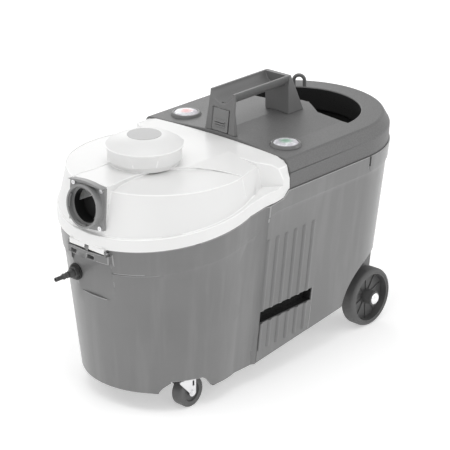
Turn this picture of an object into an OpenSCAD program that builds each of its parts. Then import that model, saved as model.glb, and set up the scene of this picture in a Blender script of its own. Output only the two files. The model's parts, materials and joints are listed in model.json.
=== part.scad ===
// Carpet cleaner machine: a wheeled spray-extraction cleaner with a translucent tank lid.
// Millimetres. +Z up, the suction inlet faces -Y, the rear wheels are at +Y.
// The origin lies on the floor under the middle of the machine.

/* [Housing] */
// Width of the rear body at the joint with the top cover
body_w = 314; // [300:1:326]
// Width of the rear body at its bottom edge
foot_w = 253; // [240:1:270]
// Height of the bottom edge of the tub above the floor
foot_z = 32; // [28:1:38]
// Height of the joint between lower housing and top cover
joint_z = 324; // [310:1:340]
// Centre of the round tub, front to back
tub_y = -144; // [-148:1:-140]
// Radius of the round tub at its bottom edge
tub_foot_r = 127; // [120:1:132]
// Centre of the rounded rear end
tail_y = 168; // [160:1:176]
// Where the straight body sides start behind the tub
waist_y = -66; // [-70:1:-62]
// Wall thickness of the mouldings
wall = 3.5; // [2.5:0.1:4.5]
// Height of the tub floor above the casters
tub_floor_z = 68; // [66:1:80]
// Outward step of the band that runs round the top edge
band_step = 2.2; // [1:0.1:3]
// Height of the band on the rear body
band_h = 28; // [20:1:40]

/* [Tub rim] */
// Slope of the tub rim, rising to the rear, in degrees
rim_tilt = 8.4; // [6:0.1:10]
// Height of the rim plane at the front of the tub
rim_z = 275; // [268:1:282]
// Height of the lid flange
flange_h = 21; // [16:1:26]
// Radius of the lid flange
flange_r = 158; // [155:1:162]
// Thickness of the lid gasket
gasket_t = 1.2; // [0.8:0.1:2]

/* [Lid] */
// Wall thickness of the translucent mouldings
lid_wall = 3; // [2:0.1:4]
// Radius of the round lid wall at the height of the plateau
lid_r = 140; // [136:1:143]
// Height of the plateau in the middle of the lid
plateau_z = 373; // [370:1:378]
// Radius of the scoop on each side of the plateau, as seen from above
scoop_r = 138; // [132:1:144]
// Centre of the screw cap, front to back
cap_y = -176; // [-180:1:-172]
// Radius of the screw cap
cap_r = 60; // [56:1:64]
// Height of the lip of the screw cap
cap_lip_z = 402; // [398:1:406]

/* [Suction inlet] */
// Height of the inlet's centre
inlet_z = 337; // [330:1:342]
// Width and height of the inlet plate
plate_w = 74; // [70:1:80]
// Inner radius of the inlet's bore
inlet_bore_r = 27; // [22:0.5:28]
// Outer radius of the bayonet collar
collar_r = 33.4; // [32:0.2:35]
// How far the collar stands out of the plate
collar_h = 11; // [8:1:16]

/* [Top cover and handle] */
// Height of the deck at its outer edge
deck_z = 370; // [364:1:376]
// Rise of the deck towards its middle
crown = 6; // [3:0.5:8]
// Radius of the rear fill well
well_r = 112; // [104:1:116]
// Front edge of the fill well
well_y = 172; // [168:1:176]
// Height of the handle's rims
handle_z = 440; // [430:1:450]
// Half the width of the handle
handle_half = 25; // [22:0.5:28]
// Front end of the grip
grip_y0 = -2; // [-4:1:2]
// Rear end of the grip
grip_y1 = 128; // [122:1:132]
// Radius of the push button lenses
lens_r = 19.5; // [16:0.5:21]
// Travel of the push buttons
button_travel = 3; // [2:0.5:4]
// Distance of each push button from the middle
button_x = 106; // [96:1:110]
// Place of the push buttons, front to back
button_y = 27; // [24:1:32]

/* [Wheels] */
// Diameter of the rear wheels
wheel_d = 100; // [94:1:104]
// Width of the rear wheels
wheel_w = 27; // [24:1:30]
// Distance of the rear wheels' outer faces from the middle
wheel_x = 128; // [126:1:132]
// Place of the rear axle, front to back
axle_y = 227; // [224:1:232]
// Diameter of the rear axle
axle_d = 12; // [10:0.5:14]
// Diameter of the front caster wheels
caster_d = 50; // [46:1:52]
// Width of the front caster wheels
caster_w = 19.5; // [17:0.5:20]
// Distance of the caster swivel axes from the middle
caster_x = 97; // [94:1:99]
// Place of the caster swivel axes, front to back
caster_y = -202; // [-204:1:-200]
// Trail of the caster wheels behind their swivel axes
caster_trail = 13; // [10:1:14]

/* [Coupling] */
// Place of the spray coupling across the machine
coupling_x = -42; // [-44:1:-38]
// Height of the spray coupling
coupling_z = 214; // [210:1:220]
// Outer radius of the coupling's hose tail
tail_r = 3.4; // [3:0.1:4]
// Distance of the coupling's tip from the middle of the machine
tip_y = -327; // [-332:1:-322]

/* [Hidden] */
$fn = 96;

gap = 0.3;          // clearance between bodies that move past each other
fit = 0.05;         // radial clearance of a running fit
far = 400;          // larger than half the machine
draft = (body_w - foot_w) / 2 / (joint_z - foot_z);
draft_deg = atan(draft);
rim_slope = tan(rim_tilt);
tub_r_rim = tub_foot_r + draft * (rim_z - foot_z);
rim_y0 = tub_y - tub_r_rim;
step_y = -37;       // the rim plane ends here and the cover joint begins
seam_r = 1050;      // radius of the seam between lid and cover
seam_y = -11;       // the seam's rearmost point
seam_gap = 1;
waist_in = 4.5;     // the sides draw in by this much towards the tub
waist_l = 6;        // over this length
// the flat flanks start where they leave the round tub
flank_y = tub_y + sqrt(max(0, pow(tub_foot_r, 2) - pow(foot_w / 2 - waist_in, 2))) - 1;
base_rise = 0.128;  // slope of the body's bottom edge behind the tub
base_y = -75;       // the bottom edge starts to rise here

function half_w(z) = foot_w / 2 + draft * (z - foot_z);
function tub_r(z) = tub_foot_r + draft * (z - foot_z);
function rim_at(y) = rim_z + rim_slope * (y - rim_y0);
function base_at(y) = foot_z + base_rise * max(0, y - base_y);
function arc(cx, cy, r, a0, a1, n) = [for (i = [0:n]) let (a = a0 + (a1 - a0) * i / n)
    [cx + r * cos(a), cy + r * sin(a)]];

// An outline in the side view (y, z), extruded across the machine from x0 to x1.
module side_slab(points, x0, x1) translate([x0, 0, 0]) rotate([90, 0, 90])
    linear_extrude(x1 - x0) polygon(points);
// An outline in the front view (x, z), extruded from y0 back to y1.
module front_slab(points, y0, y1) translate([0, y1, 0]) rotate([90, 0, 0])
    linear_extrude(y1 - y0) polygon(points);
module both_sides() { children(); mirror([1, 0, 0]) children(); }
module ring(r_out, r_in, h, facets = 96) difference() {
    cylinder(h = h, r = r_out, $fn = facets);
    translate([0, 0, -1]) cylinder(h = h + 2, r = r_in, $fn = facets);
}

// ---- shape of the body: round tub in front, straight sides, round rear end ----
module tub_cone(grow, z0, z1) translate([0, tub_y, z0])
    cylinder(h = z1 - z0, r1 = tub_r(z0) + grow, r2 = tub_r(z1) + grow, $fn = 128);
module rear_slice(grow, z0, z1, drop, y0, y1) front_slab([[-half_w(z0) - grow + drop, z0],
    [half_w(z0) + grow - drop, z0], [half_w(z1) + grow - drop, z1],
    [-half_w(z1) - grow + drop, z1]], y0, y1);
module rear_body(grow, z0, z1) {
    translate([0, tail_y, z0])
        cylinder(h = z1 - z0, r1 = half_w(z0) + grow, r2 = half_w(z1) + grow, $fn = 128);
    hull() {
        rear_slice(grow, z0, z1, 0, waist_y, tail_y);
        rear_slice(grow, z0, z1, waist_in, waist_y - waist_l, waist_y);
    }
    rear_slice(grow, z0, z1, waist_in, flank_y, waist_y - waist_l);
}
module body_shape(grow, z0, z1) { tub_cone(grow, z0, z1); rear_body(grow, z0, z1); }
module under_rim() side_slab([[-far, rim_at(-far)], [step_y, rim_at(step_y)],
    [step_y + 11, joint_z], [far, joint_z], [far, -1], [-far, -1]], -far, far);

// ---- lower housing ----
bulk_y = step_y - 2;       // rear face of the wall between tub and motor room, upper part
room_y = -67;              // front of the motor room, lower part
room_z = 246;              // height of the motor room's lower part
floor_up = 20;             // height of the rear floor above the bottom edge
arch_r = 82;
arch_x = wheel_x - wheel_w - 4;
arch_z = caster_d + 1.8;   // top of the arches over the casters
slot_y0 = -65;
slot_y1 = 61;
slot_z0 = 108;
slot_z1 = 127;
hatch_top = 105;
notch_y = 172;
hatch_t = 3;
hatch_pin_r = 2.5;
hatch_pin_z = base_at(slot_y1) + 8;   // axis of the hatch
hatch_x = half_w(hatch_pin_z) - 7;
rib_r = 5;
rib_out = 2.5;
rib_pitch = 21.4;
rib_y = -61;
rib_n = 6;
rib_top = 247;
recess_x0 = -48;
recess_x1 = 39;
recess_z = 188;
recess_y = tub_y - tub_r(recess_z) + 3.5;   // flat panel let into the front of the tub
seat_y = recess_y - 0.5;   // flat face that the coupling sits on
hinge_y = rim_y0 - 2.1;    // axis of the lid's hinge
hinge_z = rim_z - 4;
hinge_pin_r = 1.5;
knuckle_r = 3.2;
tab_x = 20.5;
tab_w = 32;
shelf_half = 40;
shelf_z = hinge_z - knuckle_r - 1.2;
shelf_h = 13;
nipple_r = 7;
axle_z = wheel_d / 2;

function band_low(y) = rim_at(y) - 40;
band_z = joint_z - band_h;

// the band's lower edge runs out in two steps
module band() for (k = [1, 2]) intersection() {
    body_shape(band_step * k / 2, foot_z, joint_z);
    translate([0, 0, 2 * k - 4]) side_slab([[-far, band_low(-far)], [waist_y - 22, band_low(waist_y - 22)],
        [waist_y - 4, band_z - 7], [waist_y + 18, band_z], [far, band_z], [far, far + 4], [-far, far + 4]],
        -far, far);
}
module wall_rib(z0, z1) both_sides()
    for (i = [0:rib_n - 1]) translate([0, rib_y + i * rib_pitch, 0]) {
        translate([half_w(z0) + rib_out - rib_r, 0, z0]) rotate([0, draft_deg, 0])
            cylinder(h = (z1 - z0) / cos(draft_deg), r = rib_r, $fn = 32);
        translate([half_w(z1) + rib_out - rib_r, 0, z1]) sphere(r = rib_r, $fn = 32);
    }
module base_cut(up) side_slab([[-far, -1], [-far, foot_z + up], [base_y, foot_z + up],
    [far, base_at(far) + up], [far, -1]], -far, far);
module wheel_arch(grow) both_sides() translate([arch_x - grow, axle_y, axle_z]) rotate([0, 90, 0])
    cylinder(h = far, r = arch_r + grow);
// radius that the fork and wheel sweep at a height z, with some clearance
function swing(z) = 1 + max(norm([leg_x + leg_t, caster_trail + 7.5]), norm([caster_w / 2,
    caster_trail + sqrt(max(0, pow(caster_d / 2, 2) - pow(z - caster_d / 2, 2)))]));
module caster_arch() both_sides() {
    translate([0, tub_y, 0]) rotate([0, 0, -27]) side_slab([[-47, foot_z - 1], [-42, foot_z + 3],
        [-38, foot_z + 12], [-30, arch_z - 2], [-22, arch_z], [22, arch_z], [27, arch_z - 3],
        [31, foot_z + 11], [36, foot_z + 4], [42, foot_z - 1]], 60, 160);
    // round pocket for the swivel head, and the room that the fork and wheel sweep
    translate([caster_x, caster_y, foot_z]) cylinder(h = tub_floor_z - wall - foot_z, r = crown_r + 0.5);
    translate([caster_x, caster_y, 0]) rotate_extrude() polygon(concat([[0, foot_z - 1]],
        [for (i = [0:5]) let (z = foot_z - 1 + i * (caster_d - foot_z + 0.5) / 5) [swing(z), z]],
        [[swing(caster_d), arch_z + 0.5], [0, arch_z + 0.5]]));
}
module room_side(y_low, y_high) side_slab([[y_low, -1], [y_low, room_z], [y_high, room_z + 12],
    [y_high, far], [far, far], [far, -1]], -far, far);
// the recessed panel under the hinge shelf, with the skin behind it
module recess(skin) translate([recess_x0 - skin, -far, recess_z - skin])
    cube([recess_x1 - recess_x0 + 2 * skin, recess_y + skin + far, far]);
module housing_cavity() {
    // recovery tank in front
    difference() {
        intersection() {
            body_shape(-wall, tub_floor_z, joint_z + 1);
            side_slab([[-far, tub_floor_z], [-far, far], [far, far], [far, tub_floor_z]], -far, far);
        }
        room_side(room_y - wall, bulk_y - 6);
        recess(wall);
    }
    // motor room and fresh tank room behind it
    difference() {
        intersection() { body_shape(-wall, foot_z, joint_z + 1); room_side(room_y, bulk_y); }
        base_cut(floor_up);
        wheel_arch(wall);
    }
    // open space under both floors
    difference() {
        body_shape(-wall, foot_z - 1, tub_floor_z + 60);
        side_slab([[-far, tub_floor_z - wall], [room_y - wall, tub_floor_z - wall],
            [room_y - wall, base_at(room_y) + floor_up - wall], [far, base_at(far) + floor_up - wall],
            [far, far], [-far, far]], -far, far);
        wheel_arch(wall);
    }
}
module lower_housing() color("#8a8a8a") difference() {
    union() {
        difference() {
            intersection() {
                union() {
                    body_shape(0, foot_z, joint_z);
                    band();
                    wall_rib(base_at(slot_y1) + 3, rib_top);
                }
                under_rim();
            }
            housing_cavity();
        }
        // shelf and ears that carry the lid's hinge pin
        translate([0, 0, shelf_z - shelf_h]) linear_extrude(shelf_h) intersection() {
            polygon([[-shelf_half - 5, rim_y0 + 14], [-shelf_half, hinge_y - 30], [shelf_half, hinge_y - 30],
                [shelf_half + 5, rim_y0 + 14]]);
            translate([0, hinge_y - 4.6 + 240]) circle(r = 240, $fn = 360);
        }
        for (x = [-shelf_half, -3.5, shelf_half - 3]) side_slab(concat([[hinge_y - knuckle_r, shelf_z - 1]],
            arc(hinge_y, hinge_z, knuckle_r, 180, 0, 12),
            [[rim_y0 + 4, hinge_z], [rim_y0 + 4, shelf_z - 1]]),
            x, x + (abs(x) < 10 ? 7 : 3));
        // boss with a flat face for the coupling
        translate([coupling_x, seat_y, coupling_z]) rotate([-90, 0, 0]) cylinder(h = 13, r = 14);
        // bosses for the pins of the hatch
        for (y = [slot_y0 - 8, slot_y1]) translate([hatch_x - 6, y, hatch_pin_z - 6])
            cube([y < 0 ? 8.5 : 10, 8, 12]);
    }
    translate([-shelf_half - 1, hinge_y, hinge_z]) rotate([0, 90, 0])
        cylinder(h = 2 * shelf_half + 2, r = hinge_pin_r, $fn = 32);
    for (x = [-35, 2]) translate([x, hinge_y - 8, shelf_z - 11]) cube([14, 12, 6]);
    // room for the lid's tabs
    for (s = [-1, 1]) translate([s * tab_x - tab_w / 2 - 0.5, hinge_y, shelf_z])
        cube([tab_w + 1, knuckle_r + 0.5, 20]);
    translate([hatch_x, slot_y0 - 9, hatch_pin_z]) rotate([-90, 0, 0])
        cylinder(h = slot_y1 - slot_y0 + 18, r = hatch_pin_r + fit, $fn = 32);
    base_cut(0);
    wheel_arch(0);
    caster_arch();
    intersection() {
        recess(0);
        cube([2 * far, 2 * far, 2 * (shelf_z - shelf_h)], center = true);
    }
    translate([coupling_x, seat_y - 1, coupling_z]) rotate([-90, 0, 0]) cylinder(h = 20, r = nipple_r);
    translate([pump_x, room_y - wall - 1, pump_z]) rotate([-90, 0, 0]) cylinder(h = wall + 2, r = hose_r);
    // side slots and the opening for the hatch
    both_sides() translate([half_w(slot_z0) - 20, slot_y0, slot_z0])
        cube([60, slot_y1 - slot_y0, slot_z1 - slot_z0]);
    translate([half_w(foot_z) - 20, slot_y0, -1]) cube([60, slot_y1 - slot_y0, slot_z0 + 2]);
    // small notch under the cover
    both_sides() translate([half_w(band_z) - 0.5, notch_y, joint_z - 18]) cube([10, 4, 40]);
}

// ---- top cover with the deck, the shoulder and the fill well ----
shoulder = 8;              // how far the deck's edge lies inside the skirt
skirt_z = deck_z - 19;     // height of the crease on the skirt
collar_drop = 38;          // depth of the collar that hangs from the well's edge
tongue_y = 200;
cover_top = [[0, deck_z + crown], [100, deck_z],
    each arc(body_w / 2 - shoulder - 6, deck_z - 7, 7, 80, 25, 5),
    each arc(body_w / 2 - 7, skirt_z - 2, 8, 25, 0, 3), [body_w / 2, joint_z]];
cover_in = [[body_w / 2 - wall, joint_z - 1], [body_w / 2 - wall, skirt_z - 3],
    [body_w / 2 - shoulder - wall - 2, deck_z - wall - 2], [100, deck_z - wall - 1],
    [0, deck_z + crown - wall]];
module cover_solid(top, y0) {
    front_slab(concat(top, [for (i = [len(top) - 1:-1:0]) [-top[i][0], top[i][1]]]), y0, tail_y);
    translate([0, tail_y, 0]) rotate_extrude($fn = 128)
        polygon(concat(top, [[0, top[len(top) - 1][1]]]));
}
module well_outline(grow) translate([0, 0, -1]) linear_extrude(far + 100) difference() {
    translate([0, tail_y - 2]) circle(r = well_r + grow, $fn = 128);
    translate([-far, -far]) square([2 * far, far + well_y - grow]);
    polygon([[-50 + grow * 0.4, well_y - 20], [-50 + grow * 0.4, well_y - grow], [-8, tongue_y - grow],
        [8, tongue_y - grow], [50 - grow * 0.4, well_y - grow], [50 - grow * 0.4, well_y - 20]]);
}
module seam(offset) translate([0, seam_y - seam_r, 0])
    cylinder(h = far + 100, r = seam_r + offset, $fn = 720);
module top_cover() color("#6f6f6f") difference() {
    cover_solid(cover_top, seam_y - 16);
    difference() {
        cover_solid([for (i = [len(cover_in) - 1:-1:0]) cover_in[i]], seam_y + wall + seam_gap);
        intersection() {
            translate([-far, -far, deck_z - collar_drop]) cube([2 * far, 2 * far, far]);
            well_outline(wall);
        }
    }
    well_outline(0);
    seam(seam_gap);
    // port for the air duct
    translate([-duct_w / 2, seam_y - 20, duct_z]) cube([duct_w, 40, duct_h]);
    // seats and wells of the buttons, handle screw holes
    both_sides() translate([button_x, button_y, deck_z - 0.02]) cylinder(h = 20, r = lens_r + 5.7);
    both_sides() translate([button_x, button_y, deck_z - 20]) cylinder(h = 40, r = lens_r + 1.5);
    for (p = handle_screws) translate([p[0], p[1], deck_z - 20]) cylinder(h = 40, r = screw_r + 0.3);
}

// ---- carry handle ----
trough_r = handle_half - 3;
trough_z = handle_z + 3;
grip_t = 3.5;
post_y0 = seam_y + 1.4;
post_y1 = grip_y1 + 38;
post_flare = 7;            // the front post widens by this much on each side at its foot
handle_screws = [[-21, grip_y0 - 1.2], [21, grip_y0 - 1.2], [-14, grip_y1 + 17], [14, grip_y1 + 17]];
module handle_side(points) side_slab(points, -handle_half, handle_half);
module carry_handle() color("#5e5e5e") difference() {
    union() {
        // trough shaped grip
        intersection() {
            translate([0, grip_y0 - 9, trough_z]) rotate([-90, 0, 0])
                cylinder(h = grip_y1 - grip_y0 + 16, r = trough_r + grip_t);
            translate([-handle_half, grip_y0 - 8, 0]) cube([2 * handle_half, far, handle_z]);
            side_slab([[grip_y0 - 8, 0], [grip_y0, handle_z], [grip_y1, handle_z + 1], [grip_y1 + 4, 0]],
                -far, far);
        }
        // front post: two side cheeks and a face between them
        intersection() {
            side_slab([[post_y0, deck_z + 1], [grip_y0, handle_z], [grip_y0 + 6, handle_z],
                [grip_y0 + 1, handle_z - 30], [grip_y0 + 1, deck_z + 1]], -far, far);
            front_slab([[-handle_half - post_flare, deck_z], [handle_half + post_flare, deck_z],
                [handle_half, handle_z - 8], [handle_half, handle_z], [-handle_half, handle_z],
                [-handle_half, handle_z - 8]], -far, far);
        }
        // rear post
        handle_side([[grip_y1 - 1, deck_z + crown - 2], [grip_y1 - 1, handle_z - 18], [grip_y1, handle_z],
            [grip_y1 + 5, handle_z], [post_y1, deck_z + crown - 2]]);
    }
    // trough of the grip, running out through the front post
    translate([0, grip_y0 - 20, trough_z]) rotate([-90, 0, 0])
        cylinder(h = grip_y1 - grip_y0 + 16, r = trough_r);
    // the deck's surface
    cover_solid(cover_top, seam_y - 16);
    // window of the latch
    translate([-latch_w / 2 - 1.5, -20, deck_z - 5]) cube([latch_w + 3, 40, latch_top + 6 - deck_z]);
    // hollow of the rear post
    handle_hollow();
    latch_axis(latch_w + 10) cylinder(h = latch_w + 10, r = latch_pin_r);
    // slot at the notch
    translate([-4, grip_y0 + 2, trough_z - trough_r - 6]) cube([8, 2.5, 10]);
    for (p = handle_screws) translate([p[0], p[1], deck_z - 20]) cylinder(h = 42, r = screw_r);
}
module handle_hollow() side_slab([[grip_y1 + 4, deck_z - 4], [grip_y1 + 4, handle_z - 30],
    [post_y1 - 14, deck_z + 14], [post_y1 - 14, deck_z - 4]], -handle_half + 4, -handle_half + 5);
latch_w = 32;
latch_top = handle_z - 28;
screw_r = 1.6;

// ---- lid: flange, wall, scooped top, neck chamber, rear strip ----
lid_low = gasket_t;                        // the lid rests on the gasket
// half width of the flange at the waist, just outside the band
flange_waist = half_w(rim_at(waist_y)) - waist_in + band_step + 0.5;
strip_x = 151;                             // half width of the rear strip's top
strip_y = -62;                             // front edge of the rear strip
neck_r = cap_r + 3;                        // neck chamber under the cap
neck_z = 296;                              // bottom of the neck chamber
mouth_r = cap_r - 13;
mouth_top = plateau_z + 13;                // raised neck that the cap screws on
block_w = plate_w - 4;                     // block behind the inlet plate
block_y = rim_y0 + 3;
plate_tilt = 4.3;
sill_z = rim_z - 20;                       // the wall stands upright from here, inside the flange,
wall_z = rim_z + 30;                       // and leans in above this height
brow_z = plateau_z - 9;                    // top of the wall, where the crown of the lid begins
brow_r = lid_r + 2;
crown_top_r = cap_r + 5;                   // the crown is flat inside this radius
scoop_x = scoop_r + 32;
scoop_y = tub_y - 98;
scoop_z = brow_z - 0.4;                    // floor of a scoop at the wall,
scoop_rise = 6.5;                          // and how far the floor climbs towards the middle
module flange_outline() intersection() {
    union() {
        translate([0, tub_y]) circle(r = flange_r, $fn = 128);
        polygon([[-flange_waist, flank_y], [-flange_waist, waist_y - 8], [-body_w / 2, waist_y + 8],
            [-body_w / 2, 0], [body_w / 2, 0], [body_w / 2, waist_y + 8], [flange_waist, waist_y - 8],
            [flange_waist, flank_y]]);
    }
    translate([-far, -far]) square([2 * far, far + step_y - gap]);
}
module tilted_flange(inset, z0, z1) intersection() {
    linear_extrude(far) offset(delta = -inset) flange_outline();
    side_slab([[-far, rim_at(-far) + z0], [far, rim_at(far) + z0], [far, rim_at(far) + z1],
        [-far, rim_at(-far) + z1]], -far, far);
}
module lid_scoop(sink) difference() {
    both_sides() translate([scoop_x, scoop_y, wall_z]) cylinder(h = far, r = scoop_r + sink, $fn = 128);
    translate([0, tub_y, 0]) cylinder(h = scoop_z - sink, r = far, $fn = 128);
    translate([0, tub_y, scoop_z - sink - 1]) cylinder(h = 1.001, r = brow_r, $fn = 128);
    translate([0, tub_y, scoop_z - sink]) cylinder(h = scoop_rise, r1 = brow_r, r2 = crown_top_r, $fn = 128);
}
// round wall that runs straight back into the rear strip, with the block for the inlet
module lid_form(inset) difference() {
    union() {
        hull() {
            translate([0, tub_y, sill_z]) cylinder(h = wall_z - sill_z, r = lid_r + 15 - inset, $fn = 128);
            translate([0, tub_y, wall_z]) cylinder(h = brow_z - inset - wall_z,
                r1 = lid_r + 15 - inset, r2 = brow_r - inset, $fn = 128);
            translate([0, tub_y, brow_z - inset]) cylinder(h = plateau_z - brow_z,
                r1 = brow_r - inset, r2 = crown_top_r, $fn = 128);
            front_slab([[-strip_x + 15 + inset, sill_z], [strip_x - 15 - inset, sill_z],
                [strip_x - 15 - inset, wall_z], [strip_x - 27 - inset, brow_z - inset],
                [crown_top_r, plateau_z - inset], [-crown_top_r, plateau_z - inset],
                [-strip_x + 27 + inset, brow_z - inset], [-strip_x + 15 + inset, wall_z]],
                strip_y - 5, strip_y + 4);
        }
        front_slab([[-block_w / 2 + inset, rim_z - 20], [block_w / 2 - inset, rim_z - 20],
            [block_w / 2 - inset, plateau_z - inset], [-block_w / 2 + inset, plateau_z - inset]],
            block_y + inset, tub_y);
    }
    lid_scoop(inset);
}
// rear strip that meets the cover, drawn in towards its front
module lid_strip(inset) intersection() {
    front_slab([[-body_w / 2 + inset, rim_z], [body_w / 2 - inset, rim_z],
        [body_w / 2 - inset, joint_z + 20], [strip_x - inset, deck_z - 9 - inset],
        [strip_x - 9 - inset, deck_z - 3 - inset], [strip_x - 23, deck_z - inset],
        [-strip_x + 23, deck_z - inset], [-strip_x + 9 + inset, deck_z - 3 - inset],
        [-strip_x + inset, deck_z - 9 - inset], [-body_w / 2 + inset, joint_z + 20]],
        strip_y + inset, 0);
    linear_extrude(far) polygon([[-strip_x + 28 + inset, strip_y - 1], [-body_w / 2, strip_y + 25 + inset],
        [-body_w / 2, 0], [body_w / 2, 0], [body_w / 2, strip_y + 25 + inset],
        [strip_x - 28 - inset, strip_y - 1]]);
}
module rear_limit(inset) difference() {
    translate([-far, -far, 0]) cube([2 * far, 2 * far, far + 100]);
    difference() {
        translate([-far, -far, -1]) cube([2 * far, 2 * far, far + 200]);
        seam(-inset);
    }
    side_slab([[step_y - gap - inset, -1], [step_y - gap - inset, rim_at(step_y)],
        [step_y + 12 - inset, joint_z + 1.5 + inset], [far, joint_z + 1.5 + inset], [far, -1]], -far, far);
}
module above_rim(up) side_slab([[-far, rim_at(-far) + up], [far, rim_at(far) + up], [far, 2 * far],
    [-far, 2 * far]], -far, far);
module cap_place() translate([0, cap_y, 0]) children();
module lid_shell() color([0.95, 0.95, 0.94, 0.6]) {
    difference() {
        union() {
            difference() {
                intersection() {
                    union() { lid_form(0); lid_strip(0); }
                    above_rim(lid_low);
                    rear_limit(0);
                }
                inlet_place() translate([-far, -far, -gasket_t]) cube([2 * far, 2 * far, far]);
            }
            tilted_flange(0, lid_low, flange_h);
            for (s = [-1, 1]) lid_tab(s * tab_x);
            cap_place() translate([0, 0, plateau_z - 1])
                cylinder(h = mouth_top - plateau_z + 1, r = mouth_r + 5);
        }
        // hollow inside
        difference() {
            intersection() {
                union() {
                    intersection() {
                        lid_form(lid_wall);
                        above_rim(flange_h - lid_wall - 1);
                    }
                    lid_strip(lid_wall);
                    tilted_flange(lid_wall + 5.8, lid_low - 1, flange_h - lid_wall);
                }
                rear_limit(lid_wall);
                inlet_place() translate([-far, -far, -2 * far - gasket_t - lid_wall - 1]) cube(2 * far);
            }
            cap_place() translate([0, 0, neck_z]) ring(neck_r, neck_r - lid_wall, far);
            cap_place() translate([0, 0, plateau_z - lid_wall - 1]) ring(neck_r, mouth_r, far);
        }
        cap_place() translate([0, 0, neck_z - 1]) cylinder(h = far, r = mouth_r);
        // opening behind the inlet plate, and the port for the air duct
        inlet_place() translate([0, 0, -20]) cylinder(h = 40, r = inlet_bore_r + 3);
        cap_place() translate([-duct_w / 2, 0, duct_z]) cube([duct_w, neck_r + 6, duct_h]);
        translate([-duct_w / 2, seam_y - 30, duct_z]) cube([duct_w, 40, duct_h]);
        inlet_place() plate_holes(-12);
        translate([-shelf_half - 1, hinge_y, hinge_z]) rotate([0, 90, 0])
            cylinder(h = 2 * shelf_half + 2, r = hinge_pin_r + fit, $fn = 32);
    }
}
module lid_tab(x) side_slab(concat(arc(hinge_y, hinge_z, knuckle_r, 180, 360, 14),
    [[hinge_y + knuckle_r, rim_at(hinge_y + knuckle_r) + lid_low],
    [rim_y0 + 6, rim_at(rim_y0 + 6) + lid_low], [rim_y0 + 6, rim_at(rim_y0) + 5],
    [hinge_y - knuckle_r, rim_at(rim_y0) + 2]]), x - tab_w / 2, x + tab_w / 2);
module hinge_pin() color("#b5b5b5") translate([-shelf_half, hinge_y, hinge_z]) rotate([0, 90, 0])
    cylinder(h = 2 * shelf_half, r = hinge_pin_r, $fn = 32);
duct_w = 44;
duct_z = 340;
duct_h = 20;
module lid_gasket() color("#2b2b2b") difference() {
    tilted_flange(6.8, gap, gasket_t - 0.01);
    tilted_flange(8.8, -1, gasket_t + 1);
}

// ---- suction inlet ----
module inlet_place() translate([0, block_y, inlet_z]) rotate([90 - plate_tilt, 0, 0]) children();
plate_t = 4;
screw_pitch = 58;
module plate_holes(z) for (x = [-1, 1], y = [-1, 1])
    translate([x * screw_pitch / 2, y * screw_pitch / 2, z]) cylinder(h = 40, r = 2);
module plate_outline() intersection() {
    square([plate_w, 2 * plate_w], center = true);
    translate([0, -plate_w * 1.48]) circle(r = plate_w * 2);
    translate([0, plate_w * 1.52]) circle(r = plate_w * 2);
}
module inlet_plate() color("#4c4c4c") inlet_place() difference() {
    union() {
        linear_extrude(plate_t) plate_outline();
        cylinder(h = plate_t + collar_h, r = collar_r);
        intersection() {
            linear_extrude(plate_t + 7) plate_outline();
            translate([-plate_w, plate_w * 0.46, 0]) cube([2 * plate_w, plate_w, 20]);
        }
    }
    translate([0, 0, -1]) cylinder(h = far, r = inlet_bore_r);
    translate([0, 0, plate_t + 1]) cylinder(h = far, r = collar_r - 3.4);
    plate_holes(-1);
}
module inlet_gasket() color("#222222") inlet_place() translate([0, 0, -gasket_t]) difference() {
    linear_extrude(gasket_t) square([block_w - 4, block_w - 6], center = true);
    translate([0, 0, -1]) cylinder(h = 10, r = inlet_bore_r);
    plate_holes(-1);
}
module inlet_screws() color("#d8d8d8") inlet_place() for (x = [-1, 1], y = [-1, 1])
    translate([x * screw_pitch / 2, y * screw_pitch / 2, plate_t]) difference() {
        union() {
            cylinder(h = 2, r = 3.6);
            translate([0, 0, -12]) cylinder(h = 12, r = 1.9);
        }
        translate([0, 0, 1]) cylinder(h = 2, r = 1.6, $fn = 6);
    }
module inlet_deflector() color("#e4e4e2") difference() {
    translate([-block_w / 2 + lid_wall + 2, block_y + 26, inlet_z - 44])
        cube([block_w - 2 * lid_wall - 4, 3, plateau_z - lid_wall - inlet_z + 44 - 0.2]);
    lid_scoop(lid_wall);
}

// ---- screw cap, neck chamber, float ----
cap_z = mouth_top - 4.5;    // lower edge of the cap
cone_h = 14;
disc_r = 26;
cap_top = cap_lip_z + cone_h;
grip_x = cap_r - 4;         // distance of the cap's finger flats from its axis
function dome(t) = cone_h * (1.7 * t - 0.7 * t * t);
module screw_cap() color([0.96, 0.96, 0.95, 0.7]) cap_place() difference() {
    union() {
        translate([0, 0, cap_z]) cylinder(h = cap_lip_z - cap_z, r1 = cap_r - 1.5, r2 = cap_r);
        translate([0, 0, cap_lip_z]) rotate_extrude() polygon(concat([[0, 0]],
            [for (i = [0:8]) [cap_r - 0.5 - (cap_r - disc_r - 2) * i / 8, dome(i / 8)]], [[0, cone_h]]));
    }
    translate([0, 0, cap_z - 1]) cylinder(h = mouth_top + 2.2 - cap_z, r = mouth_r + 5 + gap);
    translate([0, 0, mouth_top + 1]) cylinder(h = cap_lip_z - mouth_top - 1, r = mouth_r - 2);
    translate([0, 0, cap_lip_z - 0.1]) cylinder(h = cone_h - lid_wall - 1, r1 = mouth_r - 2, r2 = disc_r);
    // four flats for the fingers
    for (i = [0:3]) rotate([0, 0, 45 + i * 90]) translate([grip_x, -cap_r, cap_z - 1])
        cube([cap_r, 2 * cap_r, cap_lip_z - cap_z - 1.5]);
    translate([0, 0, cap_top - 1]) cylinder(h = 5, r = disc_r + fit);
}
module cap_disc() color("#9a9a9a") cap_place() translate([0, 0, cap_top - 1]) cylinder(h = 1.5, r = disc_r);
module cap_seal() color("#303030") cap_place() translate([0, 0, mouth_top + gap])
    ring(mouth_r + 4, mouth_r + 1, 1.2 - gap);
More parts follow.
